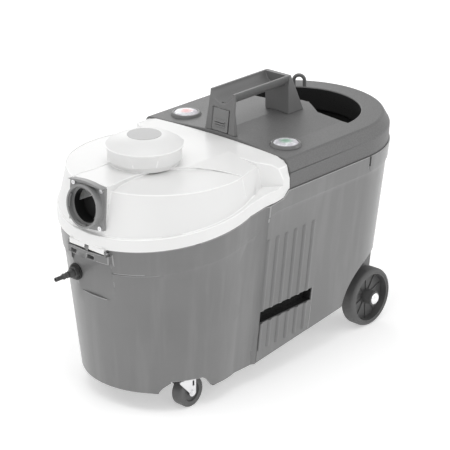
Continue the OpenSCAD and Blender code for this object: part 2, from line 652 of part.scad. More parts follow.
seat_r = 16;
ball_r = 19;
cage_r = ball_r + 2.5;
cage_hole = 8;
module float_cage() color("#dededa") cap_place() {
    translate([0, 0, neck_z]) ring(neck_r - lid_wall, seat_r, 3);
    difference() {
        translate([0, 0, neck_z - 52]) ring(cage_r + 2.5, cage_r, 52);
        for (i = [0:3]) rotate([0, 0, 45 + i * 90]) translate([0, 0, neck_z - 48])
            translate([cage_r - 6, -12, 0]) cube([16, 24, 40]);
    }
    translate([0, 0, neck_z - 54]) ring(cage_r + 2.5, cage_hole, 2);
}
// the ball rests on the edge of the hole in the cage's floor
float_z = neck_z - 52 + sqrt(ball_r * ball_r - cage_hole * cage_hole) + gap;
module float_ball() color("#f2f2f0") cap_place() translate([0, 0, float_z]) sphere(r = ball_r, $fn = 64);
module lid_duct() color("#e0e0dd") difference() {
    translate([-duct_w / 2 + gap, cap_y + sqrt(neck_r * neck_r - duct_w * duct_w / 4) - 1, duct_z + gap])
        cube([duct_w - 2 * gap, seam_y - 20 - cap_y - neck_r, duct_h - 2 * gap]);
    translate([-duct_w / 2 + 2, -far, duct_z + 2]) cube([duct_w - 4, 2 * far, duct_h - 4]);
    cap_place() cylinder(h = far, r = neck_r + gap);
}

// ---- rear wheels on their axle ----
hub_r = 12;
hub_out = 6;               // how far the hub stands out of the wheel's outer face
tyre_in_r = wheel_d / 2 - 6.5;
disc_in = 14;              // depth of the wheel disc behind the outer face
module wheel_place(s) translate([s * wheel_x, axle_y, axle_z]) rotate([0, s * 90, 0]) children();
module rear_wheel(s) color("#3d3d3d") wheel_place(s) difference() {
    union() {
        translate([0, 0, -wheel_w + 1]) ring(tyre_in_r, tyre_in_r - 3, wheel_w - 2, 128);
        translate([0, 0, -disc_in - 3]) cylinder(h = 3, r = tyre_in_r - 2);
        translate([0, 0, -wheel_w]) cylinder(h = wheel_w + hub_out, r = hub_r);
        for (i = [0:9]) rotate([0, 0, i * 36]) translate([hub_r - 1, -0.7, -disc_in - 0.5])
            cube([tyre_in_r - hub_r - 1, 1.4, 2]);
    }
    translate([0, 0, -wheel_w - 1]) cylinder(h = far, r = axle_d / 2 + fit);
}
module rear_tyre(s) color("#333333") wheel_place(s) translate([0, 0, -wheel_w]) rotate_extrude($fn = 128)
    polygon(concat([[tyre_in_r, 0], [wheel_d / 2 - 3, 0]], arc(wheel_d / 2 - 3, 3, 3, -60, 0, 3),
        arc(wheel_d / 2 - 3, wheel_w - 3, 3, 0, 60, 3), [[wheel_d / 2 - 3, wheel_w], [tyre_in_r, wheel_w]]));
module rear_axle() color("#c8c8c8") translate([-wheel_x - hub_out - 1, axle_y, axle_z]) rotate([0, 90, 0])
    cylinder(h = 2 * (wheel_x + hub_out + 1), r = axle_d / 2);
bracket_x0 = 58;
function under_floor(y) = base_at(y) + floor_up - wall - 0.02;
bracket_x1 = arch_x - wall - 0.2;
module axle_brackets() color("#7d7d7d") both_sides() difference() {
    side_slab([[axle_y - 28, under_floor(axle_y - 28)], [axle_y - 13, axle_z - 12],
        [axle_y + 13, axle_z - 12], [axle_y + 28, under_floor(axle_y + 28)]], bracket_x0, bracket_x1);
    translate([bracket_x0 - 1, axle_y, axle_z]) rotate([0, 90, 0]) cylinder(h = far, r = axle_d / 2 + fit);
}
module axle_caps() color("#e8e8e8") for (s = [-1, 1]) wheel_place(s)
    translate([0, 0, hub_out + 1]) rotate_extrude() polygon(concat([[0, 0]], [[hub_r - 2.5, 0]],
        arc(0, -8, 12.5, 40, 90, 6)));

// ---- front casters ----
crown_z = caster_d + 1.6;
crown_t = 2.4;
crown_r = 13.6;            // radius that the top of the fork sweeps
plate_z = tub_floor_z - wall;
pin_r = 4;
leg_t = 1.8;
leg_x = caster_w / 2 + 0.7;
module caster_place(s) translate([s * caster_x, caster_y, 0]) children();
module caster_plates() color("#d0d0d0") for (s = [-1, 1]) caster_place(s) {
    translate([0, 0, plate_z - 2]) cylinder(h = 2, r = crown_r);
    translate([0, 0, crown_z + crown_t + gap]) cylinder(h = plate_z - 1 - crown_z - crown_t - gap, r = 10.5);
    translate([0, 0, crown_z - 1]) cylinder(h = 5, r = pin_r);
    translate([0, 0, crown_z - 2]) cylinder(h = 1.7, r = pin_r + 2);
}
module caster_leg() difference() {
    union() {
        side_slab([[-15, crown_z - 0.3], [-14, crown_z - 4], [caster_trail - 7, caster_d / 2 + 1],
            each arc(caster_trail, caster_d / 2, 7, 190, 360, 8), [caster_trail + 7.5, crown_z - 0.3]],
            leg_x, leg_x + leg_t);
        side_slab([[-6, crown_z - 4], [-6, crown_z + crown_t], [6, crown_z + crown_t], [6, crown_z - 4]],
            leg_x, leg_x + leg_t);
    }
    translate([0, caster_trail, caster_d / 2]) rotate([0, 90, 0]) cylinder(h = 40, r = bolt_r);
    translate([0, caster_trail - 0.5, caster_d / 2 + 11]) cube([40, 3.6, 9]);
}
module caster_fork(s) color("#dcdcdc") caster_place(s) {
    difference() {
        translate([-leg_x - leg_t, -6, crown_z]) cube([2 * leg_x + 2 * leg_t, 12, crown_t]);
        translate([0, 0, crown_z - 1]) cylinder(h = 6, r = pin_r + fit);
    }
    both_sides() caster_leg();
}
bolt_r = 3;
module caster_wheel(s) color("#303030") caster_place(s)
    translate([-caster_w / 2, caster_trail, caster_d / 2]) rotate([0, 90, 0]) rotate_extrude()
    polygon(concat(
        [[bolt_r + fit, 0], [6.5, 0], [6.5, 2.5], [caster_d / 2 - 10, 2.5], [caster_d / 2 - 9, 0],
        [caster_d / 2 - 2, 0]], arc(caster_d / 2 - 2, 2, 2, -70, 0, 4),
        arc(caster_d / 2 - 2, caster_w - 2, 2, 0, 70, 4),
        [[caster_d / 2 - 2, caster_w], [caster_d / 2 - 9, caster_w], [caster_d / 2 - 10, caster_w - 2.5],
        [6.5, caster_w - 2.5], [6.5, caster_w], [bolt_r + fit, caster_w]]));
module caster_bolt(s) color("#b8b8b8") caster_place(s) translate([0, caster_trail, caster_d / 2])
    rotate([0, 90, 0]) {
        translate([0, 0, -leg_x - leg_t]) cylinder(h = 2 * (leg_x + leg_t), r = bolt_r);
        for (m = [0, 1]) mirror([0, 0, m]) translate([0, 0, leg_x + leg_t]) cylinder(h = 2, r = 4.2);
    }

// ---- spray coupling ----
module coupling_place() translate([coupling_x, seat_y, coupling_z]) rotate([90, 0, 0]) children();
module coupling_washer() color("#4a4a4a") coupling_place() ring(13, nipple_r, 2);
module coupling_nut() color("#3f3f3f") coupling_place() translate([0, 0, 2]) difference() {
    cylinder(h = 6, r = 11, $fn = 6);
    translate([0, 0, -1]) cylinder(h = 9, r = nipple_r);
}
tail_l = seat_y - tip_y;
module spray_nipple() color("#3a3a3a") coupling_place() difference() {
    union() {
        translate([0, 0, -16]) cylinder(h = 26, r = nipple_r);
        translate([0, 0, -16]) cylinder(h = 3, r = 10);
        translate([0, 0, 8]) cylinder(h = tail_l - 8, r = tail_r);
        translate([0, 0, 10]) cylinder(h = 7, r1 = nipple_r, r2 = tail_r + 1.4);
        for (z = [20, 26]) translate([0, 0, z]) cylinder(h = 3, r1 = tail_r + 1.6, r2 = tail_r + 0.4);
    }
    translate([0, 0, -20]) cylinder(h = far, r = tail_r - 1.4);
}

// ---- push buttons ----
bezel_h = 5;
cup_z = 348;
stem_r = 4;
module bezel_place(s) translate([s * button_x, button_y, 0]) children();
module button_bezels() color("#5a5a5a") for (s = [-1, 1]) bezel_place(s) difference() {
    union() {
        translate([0, 0, deck_z - 0.02]) cylinder(h = bezel_h, r1 = lens_r + 5.5, r2 = lens_r + 3);
        translate([0, 0, cup_z]) cylinder(h = deck_z - cup_z + 1, r = lens_r + 1.5);
    }
    translate([0, 0, cup_z + 2]) cylinder(h = 60, r = lens_r + fit);
    translate([0, 0, cup_z - 1]) cylinder(h = 6, r = stem_r + fit);
}
module push_button(s) bezel_place(s) difference() {
    union() {
        translate([0, 0, deck_z - 6]) cylinder(h = 6 + bezel_h - 1, r = lens_r);
        translate([0, 0, deck_z + bezel_h - 1.05]) rotate_extrude() polygon(concat([[0, -1], [lens_r, -1]],
            arc(0, -lens_r * 2.9, sqrt(lens_r * lens_r + pow(lens_r * 2.9, 2)), 71, 90, 8)));
        translate([0, 0, cup_z - 1]) cylinder(h = deck_z - cup_z, r = stem_r);
    }
}
module button_spring(s) color("#cfcfcf") bezel_place(s) translate([0, 0, cup_z + 2])
    ring(stem_r + 2.6, stem_r + 1, deck_z - 6 - cup_z - 2);
module switch_blocks() color("#1f1f1f") for (s = [-1, 1]) bezel_place(s) difference() {
    translate([-13, -13, cup_z - 22]) cube([26, 26, 22]);
    translate([0, 0, cup_z - button_travel - 2]) cylinder(h = 10, r = stem_r + 2);
}

// ---- lid latch in the handle's front post ----
latch_z = latch_top - 6;
latch_y = grip_y0 + 1;
latch_pin_r = 1.5;
latch_low = deck_z + crown + 1;
module latch_axis(l) translate([-l / 2, latch_y - 0.5, latch_z]) rotate([0, 90, 0]) children();
module lid_latch() color("#767676") difference() {
    union() {
        side_slab([[post_y0 - 0.4, latch_low], [latch_y - 4, latch_top], [latch_y + 2, latch_top],
            [latch_y - 0.5, latch_low]], -latch_w / 2, latch_w / 2);
        for (i = [0:2]) translate([0, 0, latch_low + 7 + i * 4]) side_slab([[post_y0 - 1, 0],
            [post_y0 - 0.8, 2], [latch_y - 2, 2], [latch_y - 2, 0]], -latch_w / 2 + 5, latch_w / 2 - 5);
    }
    latch_axis(60) cylinder(h = 60, r = latch_pin_r + fit);
}
module latch_pin() color("#bdbdbd") latch_axis(latch_w + 10)
    cylinder(h = latch_w + 10, r = latch_pin_r);

// ---- cord hook at the rear rim ----
hook_x = -66;
hook_y = 261;
module cord_hook() color("#4d4d4d") translate([hook_x, hook_y, deck_z]) rotate([0, 0, 35]) {
    translate([0, 0, 10]) rotate([90, 0, 0]) rotate_extrude(angle = 180) translate([9, 0])
        circle(r = 3, $fn = 24);
    for (x = [-9, 9]) translate([x, 0, 0]) cylinder(h = 10, r = 3, $fn = 24);
}

// ---- side hatch under the slot ----
module side_hatch() color("#848484") {
    difference() {
        intersection() {
            union() {
                rear_body(0, foot_z, joint_z);
                wall_rib(base_at(slot_y1) + 8, rib_top);
            }
            translate([0, slot_y0 + 1.2, 0]) cube([far, slot_y1 - slot_y0 - 2.4, hatch_top]);
        }
        rear_body(-hatch_t, foot_z - 1, joint_z + 1);
        base_cut(1);
    }
    for (y = [slot_y0 + 1.2, slot_y1 - 6.2]) side_lug(y);
    for (y = [slot_y0 - 6, slot_y1 - 6.2]) translate([hatch_x, y, hatch_pin_z]) rotate([-90, 0, 0])
        cylinder(h = 12.2, r = hatch_pin_r, $fn = 32);
}
module side_lug(y) front_slab(concat([[half_w(hatch_pin_z) - hatch_t + 0.5, hatch_pin_z + 5]],
        arc(hatch_x, hatch_pin_z, 4.5, 90, 270, 10),
        [[half_w(hatch_pin_z) - hatch_t + 0.2, hatch_pin_z - 4.5]]), y, y + 5);

// ---- motor room: fresh tank, motor with fan, pump, hoses ----
motor_y = 40;
tray_z = 150;
tray_t = 5;
tray_half = 104;
tray_l = 188;
can_z0 = tray_z + tray_t;
shell_z0 = 262;
shell_z1 = 318;
shell_r = 62;
fan_r = 50;
shaft_r = 4;
tank_r = well_r + wall + gap + 0.5;
tank_y = 147;
tank_z0 = axle_z + arch_r + wall + 0.2;   // the tank stands on the wheel arches
tank_z1 = deck_z - 18;
tank_hole_y = 180;
pump_x = 70;
pump_z = 92;
hose_r = 5;
hose_in = 3;
lay_z = tub_floor_z + hose_r + 0.5;
module tank_outline(grow) intersection() {
    translate([0, tail_y - 2]) circle(r = tank_r + grow, $fn = 128);
    translate([-far, tank_y - grow]) square([2 * far, far]);
}
module fresh_tank() color([0.93, 0.94, 0.95, 0.7]) difference() {
    translate([0, 0, tank_z0]) linear_extrude(tank_z1 - tank_z0) tank_outline(2.5);
    translate([0, 0, tank_z0 + 3]) linear_extrude(far) tank_outline(0);
    translate([0, tank_hole_y, tank_z0 - 1]) cylinder(h = 10, r = hose_in);
}
module tank_strainer() color("#d9b25c") translate([0, tank_hole_y, tank_z0 + 3]) difference() {
    cylinder(h = 26, r = 14);
    translate([0, 0, -1]) cylinder(h = 25, r = 12);
    for (z = [5, 13], i = [0:5]) rotate([0, 0, i * 30]) translate([-20, -2, z]) cube([40, 4, 6]);
}
module motor_tray() color("#6a6a6a") difference() {
    union() {
        translate([-tray_half, room_y + 10, tray_z]) cube([2 * tray_half, tray_l, tray_t]);
        for (x = [-95, 95], y = [-45, 110]) translate([x, y, 30]) cylinder(h = tray_z - 29, r = 8);
    }
    base_cut(floor_up);
    translate([0, motor_y, tray_z - 1]) cylinder(h = 10, r = 18);
    for (x = [-tray_half, tray_half]) translate([x, room_y + tray_l + 19, 0]) cylinder(h = far, r = 22);
}
module motor_can() color("#3c3c3e") translate([0, motor_y, can_z0]) difference() {
    cylinder(h = shell_z0 - can_z0, r = 45);
    translate([0, 0, 3]) cylinder(h = shell_z0 - can_z0 - 6, r = 41.5);
    translate([0, 0, shell_z0 - can_z0 - 4]) cylinder(h = 5, r = shaft_r + fit);
    for (i = [0:8]) rotate([0, 0, i * 40]) translate([36, -4, 14]) cube([20, 8, 26]);
}
module fan_shell() color("#9b9b9d") translate([0, motor_y, shell_z0]) difference() {
    cylinder(h = shell_z1 - shell_z0, r = shell_r);
    translate([0, 0, 4]) cylinder(h = shell_z1 - shell_z0 - 7, r = shell_r - 3);
    translate([0, 0, -1]) cylinder(h = 6, r = shaft_r + 2);
    translate([0, 0, 20]) cylinder(h = far, r = 20);
    for (i = [0:11]) rotate([0, 0, i * 30]) translate([shell_r - 8, -5, 12]) cube([12, 10, 14]);
}
module motor_gasket() color("#2a2a2a") translate([0, motor_y, shell_z1]) ring(30, 20, 4);
module impeller() color("#c9c9cb") translate([0, motor_y, shell_z0 + 10]) {
    difference() {
        union() {
            cylinder(h = 3, r = fan_r);
            cylinder(h = 24, r = 9);
            for (i = [0:7]) rotate([0, 0, i * 45]) translate([7, -1, 2]) cube([fan_r - 9, 2, 20]);
        }
        translate([0, 0, -1]) cylinder(h = 40, r = shaft_r);
    }
    translate([0, 0, 21.5]) ring(fan_r, 19, 2.5);
}
module fan_shaft() color("#dadada") translate([0, motor_y, shell_z0 - 60]) cylinder(h = 92, r = shaft_r);
duct_y = seam_y + wall + seam_gap + gap;
module intake_duct() color("#4a4a4a") difference() {
    union() {
        translate([-duct_w / 2, duct_y, duct_z]) cube([duct_w, motor_y + 24 - duct_y, duct_h]);
        translate([0, motor_y, shell_z1 + 4]) cylinder(h = duct_z - shell_z1 - 3, r = 24);
    }
    translate([-duct_w / 2 + 2.5, -20, duct_z + 2.5]) cube([duct_w - 5, motor_y + 41, duct_h - 5]);
    translate([0, motor_y, shell_z1]) cylinder(h = duct_z - shell_z1 + 5, r = 19.5);
}
foam_x = half_w(slot_z0) - wall - 19;
module exhaust_foam() color("#2f3133") both_sides() intersection() {
    rear_body(-wall - 0.02, foot_z, joint_z);
    difference() {
        translate([foam_x, room_y + 0.02, hatch_top - 5])
            cube([far, slot_y1 + 5 - room_y, slot_z1 - hatch_top + 11]);
        translate([foam_x + 5, slot_y0 - 0.5, hatch_top - 2])
            cube([far, slot_y1 - slot_y0 + 1, slot_z1 - hatch_top + 2.5]);
    }
}
module pump_place() translate([pump_x, 0, pump_z]) rotate([-90, 0, 0]) children();
module pump_body() color("#2d2d2f") pump_place() difference() {
    union() {
        translate([0, 0, -30]) cylinder(h = 68, r = 19);
        translate([-15, -15, -44]) cube([30, 30, 15]);
        translate([0, 0, 37]) cylinder(h = 18, r = 15);
    }
    translate([0, 0, -52]) cylinder(h = 40, r = hose_in);
    translate([0, 0, 40]) cylinder(h = 30, r = hose_in);
}
module pump_bracket() color("#a9a9ab") difference() {
    translate([pump_x - 22, -22, 40]) cube([44, 52, pump_z - 44]);
    base_cut(floor_up);
    pump_place() translate([0, 0, -60]) cylinder(h = 140, r = 19 + fit);
    translate([pump_x - 18, -30, 40]) cube([36, 80, pump_z - 64]);
}
// A hose is swept through a row of points: each ring slides along its stretch to the next mitre plane.
hose_sides = 12;
function unit(v) = v / norm(v);
function stretch(p, i) = unit(p[i + 1] - p[i]);
function mitre(p, i) = i == len(p) - 1 ? stretch(p, i - 1) : unit(stretch(p, i - 1) + stretch(p, i));
function first_ring(p, r) = let (d = stretch(p, 0), u = unit(cross(d, [1, 2, 3])), v = cross(d, u))
    [for (k = [0:hose_sides - 1]) let (a = 360 * k / hose_sides) p[0] + r * (cos(a) * u + sin(a) * v)];
function slid(ring, d, to, n) = [for (q = ring) q + d * (((to - q) * n) / (d * n))];
function rings(p, ring, i = 0) = i == len(p) - 1 ? [ring] :
    concat([ring], rings(p, slid(ring, stretch(p, i), p[i + 1], mitre(p, i + 1)), i + 1));
suction_run = [[0, tank_hole_y, tank_z0], [0, tank_hole_y, 112], [20, 150, 104], [pump_x, 100, pump_z],
    [pump_x, 55, pump_z]];
pressure_run = [[pump_x, -44, pump_z], [pump_x, -79, pump_z], [pump_x, -101, lay_z],
    [coupling_x, seat_y + 44, lay_z],
    [coupling_x, seat_y + 26, lay_z + 18], [coupling_x, seat_y + 26, coupling_z - 8],
    [coupling_x, seat_y + 22, coupling_z],
    [coupling_x, seat_y + 16, coupling_z]];
module hose(p) {
    n = hose_sides;
    m = len(p) * n;
    points = [each [for (ring = rings(p, first_ring(p, hose_r))) each ring],
        each [for (ring = rings(p, first_ring(p, hose_in))) each ring]];
    walls = [for (i = [0:len(p) - 2], k = [0:n - 1]) let (a = i * n + k, b = i * n + (k + 1) % n)
        each [[a, a + n, b + n, b], [m + b, m + b + n, m + a + n, m + a]]];
    ends = [for (k = [0:n - 1]) let (b = (k + 1) % n, e = m - n)
        each [[k, b, m + b, m + k], [e + b, e + k, m + e + k, m + e + b]]];
    polyhedron(points, concat(walls, ends));
}
module suction_hose() color("#383838") hose(suction_run);
module pressure_hose() color("#383838") hose(pressure_run);
module cover_screws() color("#c4c4c4") for (p = handle_screws) translate([p[0], p[1], 0]) {
    translate([0, 0, deck_z - 6]) cylinder(h = 24, r = screw_r);
    translate([0, 0, deck_z - 4]) cylinder(h = 2, r = 3.2);
}
top_cover();
carry_handle();
lid_shell();
lid_gasket();
inlet_plate();
inlet_gasket();
inlet_screws();
inlet_deflector();
float_cage();
float_ball();
lid_duct();
screw_cap();
cap_disc();
cap_seal();
lower_housing();
cord_hook();
coupling_washer();
coupling_nut();
spray_nipple();
button_bezels();
switch_blocks();
rear_axle();
axle_brackets();
axle_caps();
rear_wheel(-1);  // rear_wheel_left
rear_wheel(1);  // rear_wheel_right
rear_tyre(-1);  // rear_tyre_left
rear_tyre(1);  // rear_tyre_right
caster_plates();
caster_fork(-1);  // caster_fork_left
caster_fork(1);  // caster_fork_right
caster_wheel(-1);  // caster_wheel_left
caster_wheel(1);  // caster_wheel_right
caster_bolt(-1);  // caster_bolt_left
caster_bolt(1);  // caster_bolt_right
lid_latch();
latch_pin();
color([0.9, 0.75, 0.78, 0.8]) push_button(-1);  // button_left
color([0.8, 0.9, 0.84, 0.8]) push_button(1);  // button_right
button_spring(-1);  // button_spring_left
button_spring(1);  // button_spring_right
side_hatch();
hinge_pin();
fresh_tank();
tank_strainer();
motor_tray();
fan_shell();
motor_can();
motor_gasket();
impeller();
fan_shaft();
intake_duct();
exhaust_foam();
pump_body();
pump_bracket();
suction_hose();
pressure_hose();
cover_screws();
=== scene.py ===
import json
from math import cos, pi, radians, sin, sqrt, tan

import bmesh
import bpy
from mathutils import Matrix, Vector

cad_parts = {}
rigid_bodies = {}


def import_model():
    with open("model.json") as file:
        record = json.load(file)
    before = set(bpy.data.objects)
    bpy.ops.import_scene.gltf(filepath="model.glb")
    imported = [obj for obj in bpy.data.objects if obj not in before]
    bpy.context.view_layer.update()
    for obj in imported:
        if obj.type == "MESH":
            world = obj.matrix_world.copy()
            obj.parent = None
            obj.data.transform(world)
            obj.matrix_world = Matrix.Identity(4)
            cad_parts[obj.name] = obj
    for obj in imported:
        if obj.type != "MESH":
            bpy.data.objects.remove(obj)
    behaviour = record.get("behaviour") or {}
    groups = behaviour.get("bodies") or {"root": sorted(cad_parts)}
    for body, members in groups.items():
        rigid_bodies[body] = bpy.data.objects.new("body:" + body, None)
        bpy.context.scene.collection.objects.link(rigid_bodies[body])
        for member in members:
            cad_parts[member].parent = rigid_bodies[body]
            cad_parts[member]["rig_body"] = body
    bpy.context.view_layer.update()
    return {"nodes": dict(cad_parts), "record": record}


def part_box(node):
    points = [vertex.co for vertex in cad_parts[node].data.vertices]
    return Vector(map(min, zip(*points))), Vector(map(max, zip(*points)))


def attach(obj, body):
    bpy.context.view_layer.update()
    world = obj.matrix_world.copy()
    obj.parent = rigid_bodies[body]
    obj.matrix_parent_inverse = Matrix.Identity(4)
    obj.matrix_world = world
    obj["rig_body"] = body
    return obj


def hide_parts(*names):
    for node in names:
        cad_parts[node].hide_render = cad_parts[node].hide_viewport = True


# Looks of a wheeled carpet cleaner, built round its CAD frame. Metres, +Z up, the inlet faces -Y.
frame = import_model()
nodes = frame["nodes"]
slot_of = {part["node"]: part["material_slot"] for part in frame["record"]["subparts"]}
mounts = {mount["name"]: mount for mount in frame["record"]["mounts"]}
MM = 0.001

# ---- the housing's own sizes: round tub in front, tapered sides, round tail ----
FOOT_Z, RIM_Z = 32 * MM, 324 * MM          # heights of the lower edge and of the rim
FOOT_W, RIM_W = 253 * MM, 314 * MM         # widths over the sides at those heights
DRAFT = (RIM_W - FOOT_W) / 2 / (RIM_Z - FOOT_Z)
TUB = (-144 * MM, 127 * MM)                # y of the axis, and radius at the lower edge
TAIL = (168 * MM, 126.5 * MM)
TUB_BACK = 35 * MM                         # up to this far behind its axis, the tub alone is the body
WAIST_Y = -66 * MM                         # the sides stand further in ahead of the waist
WAIST_IN = 4.5 * MM


def body_reach(point):
    """How far a point stands outside the plain tapered body."""
    grown = DRAFT * (point.z - FOOT_Z)
    tub = sqrt(point.x ** 2 + (point.y - TUB[0]) ** 2) - TUB[1] - grown
    if point.y < TUB[0] + TUB_BACK:
        return tub
    if point.y > TAIL[0]:
        return sqrt(point.x ** 2 + (point.y - TAIL[0]) ** 2) - TAIL[1] - grown
    flank = abs(point.x) - TAIL[1] - grown
    if point.y < WAIST_Y:
        flank += WAIST_IN
    return min(tub, flank)


# ---- modelling by hand ----
WELD = 0.002 * MM       # points of a new piece closer than this are one point
CAD_WELD = 0.01 * MM    # the same for a copy of a CAD node
FLAT_DEG = 0.4          # faces that lean less than this are one flat face
CREASE_DEG = 32         # edges sharper than this are rounded


def middle(node):
    low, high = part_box(node)
    return (low + high) / 2


def on_circle(centre, radius, degrees):
    return centre[0] + radius * cos(radians(degrees)), centre[1] + radius * sin(radians(degrees))


def bend(centre, radius, start_deg, end_deg, steps=6):
    """Points of an arc in an outline."""
    step = (end_deg - start_deg) / steps
    return [on_circle(centre, radius, start_deg + step * i) for i in range(steps + 1)]


def deselect():
    bpy.ops.object.select_all(action="DESELECT")


def hold(piece):
    """Selects one piece alone and makes it the active one."""
    deselect()
    piece.select_set(True)
    bpy.context.view_layer.objects.active = piece


def start(name):
    """Gives the active new primitive its name and opens it for editing."""
    piece = bpy.context.object
    piece.name = name
    piece.data.name = name
    bpy.ops.object.mode_set(mode="EDIT")
    return piece


def close():
    bpy.ops.object.mode_set(mode="OBJECT")


def seal():
    """Merges the open piece's doubles, turns its faces outwards and ends the editing."""
    bpy.ops.mesh.select_all(action="SELECT")
    bpy.ops.mesh.remove_doubles(threshold=WELD)
    bpy.ops.mesh.normals_make_consistent(inside=False)
    close()


def draw_line(name, points):
    """Opens a new piece, with one line of edges along the points."""
    bpy.ops.mesh.primitive_plane_add(size=0.01)
    piece = start(name)
    bpy.ops.mesh.merge(type="CENTER")
    bpy.ops.transform.translate(value=points[0])
    for last, point in zip(points, points[1:]):
        bpy.ops.mesh.extrude_region_move(TRANSFORM_OT_translate={"value": point - last})
    return piece


def put(piece, place=(0, 0, 0), turn=Matrix.Identity(4)):
    """Moves a finished mesh to its place, and leaves the object itself at the origin."""
    piece.matrix_world = Matrix.Translation(place) @ turn.to_4x4()
    hold(piece)
    bpy.ops.object.transform_apply(location=True, rotation=True, scale=True)


# ---- rounded edges ----
FACE_SHARE = 0.45       # a rounding takes less than half of a face, whose far edge may be rounded too
NEAR_STRAIGHT = 3.1     # largest turn in a corner, in radians, that keeps the tangent of its half finite
THIN_CORNER = 0.05      # least sine of a corner
ENOUGH = 0.98           # an edge is rounded where this share of the width has room


def corner_room(edge, loop, sharp):
    """Widest bevel of an edge that fits beside the next edge of the same face."""
    ends = []
    for corner in (loop, loop.link_loop_next):
        beside = corner.link_loop_prev.edge if corner == loop else corner.edge
        foot = corner.vert.co
        one = edge.other_vert(corner.vert).co - foot
        two = beside.other_vert(corner.vert).co - foot
        turn = one.angle(two, pi)
        if beside in sharp:
            ends.append(min(one.length, two.length) * tan(min(turn, NEAR_STRAIGHT) / 2))
        else:
            ends.append(two.length * max(sin(turn), THIN_CORNER))
    return FACE_SHARE * min(ends)


def weigh_edges(piece, width, crease):
    """Marks each sharp edge that the faces beside it leave room to round."""
    shape = bmesh.new()
    shape.from_mesh(piece.data)
    layer = shape.edges.layers.float.new("bevel_weight_edge")
    joined = (edge for edge in shape.edges if len(edge.link_faces) == 2)
    sharp = {edge for edge in joined if edge.calc_face_angle() > radians(crease)}
    for edge in sharp:
        foot = edge.verts[0].co
        along = (edge.verts[1].co - foot).normalized()
        room = width
        for loop in edge.link_loops:
            across = loop.face.normal.cross(along)
            depth = max(abs((v.co - foot).dot(across)) for v in loop.face.verts)
            room = min(room, FACE_SHARE * depth, corner_room(edge, loop, sharp))
        edge[layer] = 1 if room >= ENOUGH * width else 0
    shape.to_mesh(piece.data)
    shape.free()


def finish_edges(piece, width, segments=3, crease=CREASE_DEG, highlight_slot=-1):
    """Rounds the sharp edges with a bevel that is applied, and shades the rest smooth."""
    hold(piece)
    bpy.ops.object.shade_smooth_by_angle(angle=radians(crease))
    weigh_edges(piece, width, crease)
    bevel = piece.modifiers.new("rounding", "BEVEL")
    bevel.width = width
    bevel.segments = segments
    bevel.limit_method = "WEIGHT"
    bevel.use_clamp_overlap = False
    # the bevel's faces may take a second, lighter finish: a painted highlight along the rounded edges
    bevel.material = highlight_slot
    bpy.ops.object.modifier_apply(modifier=bevel.name)
    bpy.ops.object.shade_smooth_by_angle(angle=radians(crease))
    even = piece.modifiers.new("large_faces_flat", "WEIGHTED_NORMAL")
    even.keep_sharp = True
    bpy.ops.object.modifier_apply(modifier=even.name)


def dress(piece, body, slot, finish=None):
    """Gives a new piece its body and its finish: the record slot's own finish unless another is given."""
    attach(piece, body)
    piece.data.materials.clear()
    piece.data.materials.append((finish or FINISHES[slot]).material)


def skin_of(node, width, crease=CREASE_DEG, shape=None, edge=None, finish=None):
    """A copy of a CAD node as one joined skin, with its flat faces whole and its edges rounded."""
    source = nodes[node]
    name = node + "_skin"
    piece = bpy.data.objects.new(name, source.data.copy())
    bpy.context.scene.collection.objects.link(piece)
    piece.data.name = name
    hold(piece)
    bpy.ops.object.mode_set(mode="EDIT")
    bpy.ops.mesh.select_all(action="SELECT")
    bpy.ops.mesh.remove_doubles(threshold=CAD_WELD)
    close()
    if shape:
        shape(piece)
    bpy.ops.object.mode_set(mode="EDIT")
    bpy.ops.mesh.select_all(action="SELECT")
    bpy.ops.mesh.dissolve_limited(angle_limit=radians(FLAT_DEG))
    close()
    dress(piece, source["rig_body"], slot_of[node], finish)
    # the edge finish is lighter than the skin's own: a painted highlight on its rounded edges
    if edge:
        piece.data.materials.append(edge.material)
    finish_edges(piece, width, crease=crease, highlight_slot=1 if edge else -1)
    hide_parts(node)
    return piece


def lathe(name, outline, steps, place=(0, 0, 0), turn=Matrix.Identity(4), smooth=CREASE_DEG):
    """Turns an outline of (radius, height) points round the Z axis into one closed skin."""
    piece = draw_line(name, [Vector((radius, 0, height)) for radius, height in outline])
    bpy.ops.mesh.select_all(action="SELECT")
    bpy.ops.mesh.spin(steps=steps, angle=2 * pi, center=(0, 0, 0), axis=(0, 0, 1))
    seal()
    put(piece, place, turn)
    bpy.ops.object.shade_smooth_by_angle(angle=radians(smooth))
    return piece


def join_up(pieces, name):
    """Makes one piece of several."""
    deselect()
    for piece in pieces:
        piece.select_set(True)
    bpy.context.view_layer.objects.active = pieces[0]
    bpy.ops.object.join()
    pieces[0].name = name
    pieces[0].data.name = name
    return pieces[0]


# ---- finishes ----
class Signal:
    """An output socket that takes part in sums: each operator adds a Math node."""

    def __init__(self, finish, socket):
        self.finish = finish
        self.socket = socket

    def maths(self, operation, *values):
        return self.finish.node("ShaderNodeMath", {"operation": operation}, list(values))

    def __add__(self, other):
        return self.maths("ADD", self, other)

    def __mul__(self, other):
        return self.maths("MULTIPLY", self, other)

    __radd__ = __add__
    __rmul__ = __mul__

    def between(self, low, high):
        """0 below low, 1 above high, and a smooth step from one to the other."""
        sockets = {"Value": self, "From Min": low, "From Max": high}
        return self.finish.node("ShaderNodeMapRange", {"interpolation_type": "SMOOTHSTEP"}, sockets)


